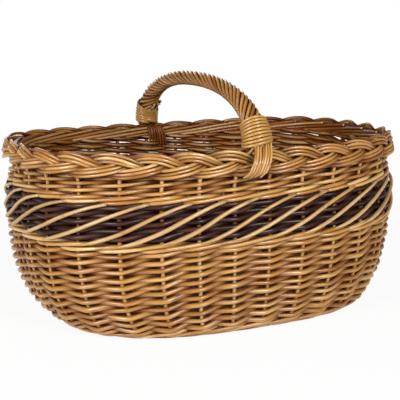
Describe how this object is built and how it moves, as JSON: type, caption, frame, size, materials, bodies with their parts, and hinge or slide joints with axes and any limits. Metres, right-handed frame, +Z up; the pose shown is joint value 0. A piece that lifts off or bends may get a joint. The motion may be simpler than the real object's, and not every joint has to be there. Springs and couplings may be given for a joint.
{
  "type": "mushroom foraging basket",
  "caption": "Oblong hand-woven willow foraging basket with a dark woven band, sloping overlay rods, plaited border and a roped bow handle across the middle",
  "frame": {"origin": "middle of the basket's outline in plan, on the surface that it stands on", "axes": "+X along the basket's length, +Y from front to back under the handle, +Z up"},
  "size_m": [0.4688, 0.3416, 0.2816],
  "materials": {
    "light_willow": "steamed or buff willow rod, satin, with tone that varies from rod to rod",
    "dark_willow": "willow rod with its dark bark left on, satin",
    "skein": "split and shaved willow skein, satin"
  },
  "bodies": {
    "root": {"back_binding": "skein", "back_inner_fan": "light_willow", "back_outer_fan": "light_willow", "band_overlay": "light_willow", "base_sticks": "light_willow", "border_strand_1": "light_willow", "border_strand_2": "light_willow", "border_strand_3": "light_willow", "bow_handle": "light_willow", "dark_band_01": "dark_willow", "dark_band_02": "dark_willow", "dark_band_03": "dark_willow", "dark_band_04": "dark_willow", "dark_band_05": "dark_willow", "foot_wale_01": "light_willow", "foot_wale_02": "light_willow", "foot_wale_03": "light_willow", "front_binding": "skein", "front_inner_fan": "light_willow", "front_outer_fan": "light_willow", "handle_roping": "light_willow", "lower_siding_01": "light_willow", "lower_siding_02": "light_willow", "lower_siding_03": "light_willow", "lower_siding_04": "light_willow", "lower_siding_05": "light_willow", "lower_siding_06": "light_willow", "lower_siding_07": "light_willow", "lower_siding_08": "light_willow", "lower_siding_09": "light_willow", "lower_siding_10": "light_willow", "lower_siding_11": "light_willow", "lower_siding_12": "light_willow", "lower_wale_01": "light_willow", "lower_wale_02": "light_willow", "stake_frame": "light_willow", "upper_siding_01": "light_willow", "upper_siding_02": "light_willow", "upper_wale_01": "light_willow", "upper_wale_02": "light_willow", "woven_base": "light_willow"}
  },
  "joints": []
}
